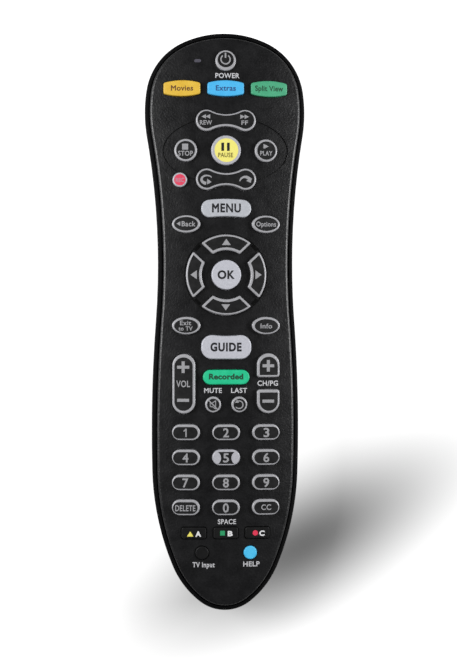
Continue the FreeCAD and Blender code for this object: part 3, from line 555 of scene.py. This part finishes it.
def keyLegends():
    # The marks on each key, placed in mm on the face and laid as high as its key stands
    rise, lift = keyTops["raised"], keyTops["inkLift"]
    colourRise, menuRise = keyTops["colourRaised"], keyTops["menuRaised"]
    smallRise = keyTops["smallRaised"]

    def label(text, x, y, capHeight, width, ink=greyInk, weight=0.022, over=rise, spacing=1.07):
        # Words with their middle at x, y
        return words(text, x, y, capHeight, width, over, ink, lift, weight, spacing)

    def bar(start, end, width, ink=greyInk, over=rise):
        # Straight stroke
        return stroke(straightPath(start, end), width, over, ink, lift)

    def arc(x, y, radius, start, end, width, ink=greyInk):
        # Stroke along an arc
        return stroke(arcPath(x, y, radius, start, end), width, rise, ink, lift)

    def swirl(x, y, radius, start, end, thin, thick, squeeze=1.0):
        # Arc that swells evenly from thin to thick, its y squeezed
        path = arcPath(0, 0, radius, start, end) * (1, squeeze) + (x, y)
        return stroke(path, np.linspace(thin, thick, len(path))[:, None], rise, greyInk, lift)

    def shape(corners, ink=greyInk, over=rise):
        # Filled polygon
        return slab(np.array(corners, float), over, ink, lift, 2)

    def arrow(x, y, length, width, degrees, ink=greyInk, over=rise):
        # Triangle whose tip points along the angle, its middle at x, y
        corners = np.array([[length / 2, 0], [-length / 2, width / 2], [-length / 2, -width / 2]])
        return shape(turned(corners, degrees) + (x, y), ink, over)

    legends = {
        "power": [arc(-0.08, 99.6, 1.75, 125, 415, 0.5), bar((-0.08, 100.15), (-0.08, 102.1), 0.6)],
        "amber": [label("Movies", -16.6, 88.65, 1.95, 8.4, brownInk, 0.025, colourRise)],
        "blue": [label("Extras", 0, 88.65, 1.95, 7.6, blueInk, 0.025, colourRise)],
        "green": [label("Split View", 16.6, 88.75, 1.95, 10.8, greenInk, 0.025, colourRise)],
        "rewind": [arrow(-8.45, 77.7, 1.7, 1.7, 180), arrow(-6.85, 77.7, 1.7, 1.7, 180),
                   arrow(6.3, 77.7, 1.7, 1.7, 0), arrow(7.9, 77.7, 1.7, 1.7, 0),
                   label("REW", -7.6, 75.4, 1.6, 4.6), label("FF", 7.1, 75.4, 1.6, 2.5)],
        "stop": [shape([[-16.65, 65.05], [-14.35, 65.05], [-14.35, 67.35], [-16.65, 67.35]]),
                 label("STOP", -15.35, 63.7, 1.75, 5.6)],
        "play": [arrow(15.3, 66.5, 2.1, 1.9, 0), label("PLAY", 15.35, 63.9, 1.65, 4.7)],
        "pause": [bar((-1.3, 64.6), (-1.3, 67.75), 1.05, darkInk),
                  bar((0.85, 64.6), (0.85, 67.75), 1.05, darkInk),
                  label("PAUSE", -0.2, 63.05, 1.65, 5.7, oliveInk)],
        "record": [label("REC", -17.5, 53.55, 1.5, 3.2, pinkInk, 0.03)],
        "replay": [swirl(-7.3, 53.75, 2.05, 28, 262, 0.35, 1.2, 0.73),
                   arrow(-6.4, 52.85, 1.65, 2.2, -3),
                   swirl(7.2, 52.65, 2.12, 168, 25, 0.4, 1.4), arrow(9.0, 53.2, 1.5, 2.5, -62)],
        "menu": [label("MENU", 0.05, 42.95, 3.1, 10.9, darkInk, 0.035, menuRise, 1.15)],
        "back": [arrow(-18.05, 37.0, 1.4, 1.8, 180), label("Back", -14.25, 36.95, 1.85, 5.2)],
        "options": [label("Options", 15.2, 36.95, 1.75, 7.6)],
        "exit": [label("Exit", -15.4, -0.5, 1.65, 4.2),
                 label("to TV", -15.4, -2.6, 1.5, 5.3)],
        "info": [label("Info", 15.2, -1.65, 1.75, 4.5)],
        "up": [arrow(0, 30.1, 2.4, 3.4, 90)],
        "down": [arrow(-0.25, 5.4, 2.3, 3.3, 270)],
        "left": [arrow(-12.35, 17.7, 2.4, 3.4, 180)],
        "right": [arrow(12.2, 17.7, 2.4, 3.4, 0)],
        "ok": [label("OK", -0.1, 17.7, 2.95, 6.5, darkInk, 0.04, spacing=1.1)],
        "guide": [words("GUIDE", -0.15, -9.6, 2.95, 11.8, menuRise, darkInk,
                        keyTops["guideInkLift"], 0.045, 1.15)],
        "list": [label("Recorded", -0.1, -20.75, 1.95, 13.0, greenInk, 0.045)],
        "volume": [bar((-18.6, -17.2), (-14.0, -17.2), 1.15),
                   bar((-16.3, -19.4), (-16.3, -15.0), 1.15),
                   label("VOL", -16.3, -23.5, 2.35, 5.2),
                   bar((-18.55, -29.7), (-14.05, -29.7), 1.15)],
        "channel_up": [bar((13.75, -16.7), (18.2, -16.7), 1.15),
                       bar((15.97, -18.9), (15.97, -14.5), 1.15)],
        "channel_down": [bar((13.75, -30.1), (18.2, -30.1), 1.15)],
        "mute": [bar(*ends, 0.3) for ends in
                 (((-6.15, -30.7), (-5.3, -30.7)), ((-6.15, -32.1), (-5.3, -32.1)),
                  ((-6.1, -30.6), (-6.1, -32.2)), ((-5.35, -30.75), (-4.0, -29.8)),
                  ((-5.35, -32.05), (-4.0, -33.0)), ((-4.05, -29.7), (-4.05, -33.1)))]
                + [bar((-6.65, -29.75), (-3.35, -33.1), 0.42)],
        "last": [arc(4.85, -31.4, 1.45, -145, 130, 0.42), arrow(3.85, -30.35, 1.35, 1.4, 212)],
        "delete": [label("DELETE", -15.4, -70.6, 2.15, 7.6)],
        "captions": [label("CC", 15.3, -70.4, 2.0, 3.8)],
        "a": [arrow(-13.5, -80.5, 1.95, 2.5, 90, yellowInk, smallRise),
              label("A", -10.45, -80.5, 1.85, 2.2, whiteInk, 0.05, smallRise)],
        "b": [shape([[-2.15, -81.1], [-0.35, -81.1], [-0.35, -79.3], [-2.15, -79.3]], leafInk,
                    smallRise),
              label("B", 1.65, -80.4, 1.8, 1.9, whiteInk, 0.05, smallRise)],
        "c": [slab(ovalOutline(2.05, 2.05, 32) + (11.25, -80.25), smallRise, redInk, lift, 2),
              label("C", 13.8, -80.4, 1.8, 2.1, whiteInk, 0.05, smallRise)],
    }
    for place, name in enumerate("234567890"):
        spot = 10 if name == "0" else place + 1
        x = digits["columns"][spot % 3]
        y = digits["station"] - digits["pitch"] * (spot // 3)
        legends[name] = [label(name, x, y, *digits["size"])]
    legends["1"] = [bar((-15.2, -43.6), (-15.2, -40.4), 0.48),
                    bar((-16.1, -41.45), (-15.2, -40.65), 0.4)]
    return legends


bodyOf = {node: body for body, nodes in frame["record"]["behaviour"]["bodies"].items()
          for node in nodes}
tops = topOutlines()
legends = keyLegends()
markedKeys = sorted(set(tops) | set(legends))
for name in markedKeys:
    node = "key_" + name
    shapes = []
    if name in tops:
        outline, middle, material = tops[name]
        shapes.append(slab(outline + middle, keyTops["raised"], material, keyTops["lift"]))
    shapes += legends.get(name, [])
    makePiece("top_" + name, shapes, bodyOf[node])
print("key tops and legends:", len(markedKeys))

# Words printed on the face beside the keys: text, x, y, cap height and width in mm.
# The gaps are painted shade: matte black strokes laid on the face at the deep ends of the channels
# between the arc keys, which look black.
faceWords = {
    "lift": 0.02, "gapLift": 0.01,
    "words": (("POWER", 0.7, 93.6, 1.8, 9.2), ("MUTE", -4.95, -26.05, 1.75, 6.7),
              ("LAST", 4.95, -26.05, 1.75, 6.1), ("CH/PG", 15.9, -23.35, 1.85, 7.9),
              ("SPACE", 0.45, -75.9, 1.75, 6.9), ("TV Input", -8.35, -92.35, 1.85, 8.4),
              ("HELP", 9.9, -92.2, 1.8, 6.3)),
    "weight": 0.022, "spacing": 1.08,
    "gapAngles": (43.4, 136.6, 223.4, 316.6), "gapRadius": 14.8, "gapSpan": 5.5, "gapWidth": 1.1,
}
faceMarks = [words(text, x, y, high, wide, 0, paleInk, faceWords["lift"], faceWords["weight"],
                   faceWords["spacing"])
             for text, x, y, high, wide in faceWords["words"]]
# Painted shade: black strokes at the deep ends of the pad's channels
faceMarks += [stroke(arcPath(0, keyTops["padStation"], faceWords["gapRadius"],
                             angle - faceWords["gapSpan"], angle + faceWords["gapSpan"]),
                     faceWords["gapWidth"], 0, channelShade, faceWords["gapLift"])
              for angle in faceWords["gapAngles"]]
makePiece("face_words_and_shade", faceMarks, bodyOf["top_case"])
print("words on the face")


# Floor: reach in metres, and in mm the drop that keeps it clear of the casing. lift is
# the light added for the camera, and farLift what the floor behind low views gets too.
# The oval of painted shadow, where the added light is withheld, has a middle, turn and half
# axes, and fade and far, where the light has come in full, are counted in half axes.
floorForm = {
    "reach": 3.0, "drop": 0.1, "colour": "#a0a0a0", "lift": 0.9, "farLift": 0.3,
    "shadowMiddle": (34.0, -87.3), "shadowTurn": 29.0, "shadowReach": (86.0, 30.0),
    "fade": 1.3, "far": (3.0, 10.0), "fibre": 1.5, "fibreDepth": 0.02,
}


def makeFloor():
    # Pale matte paper, white for the camera, gloss and glass through added light, except in an oval
    # right of the tail. The oval is a painted shadow: there the added light is withheld, so the
    # grey paper shows as a soft dark patch shaped like a shadow, around the real shadow that the
    # lamps cast. With d the distance from the oval's middle in half axes, added light = lift
    # smoothstep(0 to fade) + farLift smoothstep(far) of d.
    material, tree = emptyMaterial("matteWhitePaper")
    place = addNode(tree, "ShaderNodeTexCoord").outputs["Object"]
    fibre = addNode(tree, "ShaderNodeTexNoise",
                    {"Scale": 1 / (floorForm["fibre"] * mm), "Detail": 2.0}, {"Vector": place})
    bump = addNode(tree, "ShaderNodeBump",
                   {"Strength": 0.2, "Distance": floorForm["fibreDepth"] * mm},
                   {"Height": fibre.outputs["Fac"]})
    path = addNode(tree, "ShaderNodeLightPath").outputs
    sharp = addNode(tree, "ShaderNodeMath", {"operation": "ADD"},
                    {0: path["Is Glossy Ray"], 1: path["Is Transmission Ray"]}).outputs[0]
    ray = addNode(tree, "ShaderNodeMath", {"operation": "ADD", "use_clamp": True},
                  {0: path["Is Camera Ray"], 1: sharp}).outputs[0]
    # Painted shadow: the oval inside which the added light is withheld, so the floor is darker
    # there
    oval = addNode(tree, "ShaderNodeMapping",
                   {"vector_type": "TEXTURE",
                    "Location": (*[v * mm for v in floorForm["shadowMiddle"]], 0),
                    "Rotation": (0, 0, math.radians(floorForm["shadowTurn"])),
                    "Scale": (*[v * mm for v in floorForm["shadowReach"]], 1)},
                   {"Vector": place})
    away = addNode(tree, "ShaderNodeVectorMath", {"operation": "LENGTH"},
                   {0: oval.outputs[0]}).outputs["Value"]
    clear, far = [addNode(tree, "ShaderNodeMapRange",
                          {"interpolation_type": "SMOOTHSTEP", "From Min": start,
                           "From Max": end, "To Min": 0.0, "To Max": most},
                          {"Value": away}).outputs[0]
                  for start, end, most in ((0.0, floorForm["fade"], floorForm["lift"]),
                                           (*floorForm["far"], floorForm["farLift"]))]
    lift = addNode(tree, "ShaderNodeMath", {"operation": "ADD"}, {0: clear, 1: far}).outputs[0]
    glow = addNode(tree, "ShaderNodeMath", {"operation": "MULTIPLY"}, {0: ray, 1: lift})
    shader = addNode(tree, "ShaderNodeBsdfPrincipled",
                     {"Base Color": toLinear(floorForm["colour"]), "Roughness": 0.9,
                      "Specular IOR Level": 0.1, "Emission Color": (1, 1, 1, 1)},
                     {"Normal": bump.outputs[0], "Emission Strength": glow.outputs[0]})
    finishTree(tree, shader)
    reach, drop = floorForm["reach"], floorForm["drop"] * mm
    mesh = bpy.data.meshes.new("floor")
    mesh.from_pydata([(-reach, -reach, -drop), (reach, -reach, -drop), (reach, reach, -drop),
                      (-reach, reach, -drop)], [], [(0, 1, 2, 3)])
    mesh.materials.append(material)
    floor = bpy.data.objects.new("floor", mesh)
    bpy.context.scene.collection.objects.link(floor)


worldStrength = 0.13  # light of the room on the object, where 1 is white


def makeWorld():
    # Even white room: strength = worldStrength, or 1 for the camera
    world = bpy.data.worlds.new("softRoom")
    world.use_nodes = True
    tree = world.node_tree
    tree.nodes.clear()
    ray = addNode(tree, "ShaderNodeLightPath").outputs["Is Camera Ray"]
    strength = addNode(tree, "ShaderNodeMapRange",
                       {"To Min": worldStrength, "To Max": 1.0}, {"Value": ray})
    light = addNode(tree, "ShaderNodeBackground", {"Color": (1, 1, 1, 1)},
                    {"Strength": strength.outputs[0]})
    addNode(tree, "ShaderNodeOutputWorld", {}, {"Surface": light.outputs[0]})
    bpy.context.scene.world = world


# Name: place and size in metres, power in watts
lamps = {
    "keyLamp": ((-0.6, 0.14, 0.47), 0.35, 4.6),
    "rightLamp": ((0.7, 0.1, 0.44), 0.35, 4.9),
}


def makeLamps():
    # Square soft lamps that face the origin, under the middle of the casing
    for name, (place, size, power) in lamps.items():
        light = bpy.data.lights.new(name, "AREA")
        light.shape = "SQUARE"
        light.size = size
        light.energy = power
        lamp = bpy.data.objects.new(name, light)
        lamp.location = place
        lamp.rotation_mode = "QUATERNION"
        lamp.rotation_quaternion = (-Vector(place)).to_track_quat("-Z", "Y")
        bpy.context.scene.collection.objects.link(lamp)


# Camera: place, aim and lens in mm, nearest distance in metres
cameraForm = {"place": (-44.9, -4.05, 700.0), "aim": (1.534, -2.964, 18.0), "lens": 97.34,
              "nearest": 0.01}


def makeCamera():
    # Looks from its place to the aim, with the head end up in the picture: the axes are
    # back = place - aim, right = Y x back and up = back x right
    data = bpy.data.cameras.new("camera")
    data.lens = cameraForm["lens"]
    data.clip_start = cameraForm["nearest"]
    camera = bpy.data.objects.new("camera", data)
    place = Vector(cameraForm["place"]) * mm
    back = (place - Vector(cameraForm["aim"]) * mm).normalized()
    right = Vector((0, 1, 0)).cross(back).normalized()
    camera.location = place
    camera.rotation_mode = "QUATERNION"
    turn = Matrix((right, back.cross(right), back)).transposed()
    camera.rotation_quaternion = turn.to_quaternion()
    bpy.context.scene.collection.objects.link(camera)
    bpy.context.scene.camera = camera


makeFloor()
makeWorld()
makeLamps()
makeCamera()
bpy.context.scene.view_settings.view_transform = "Standard"
print("studio ready")
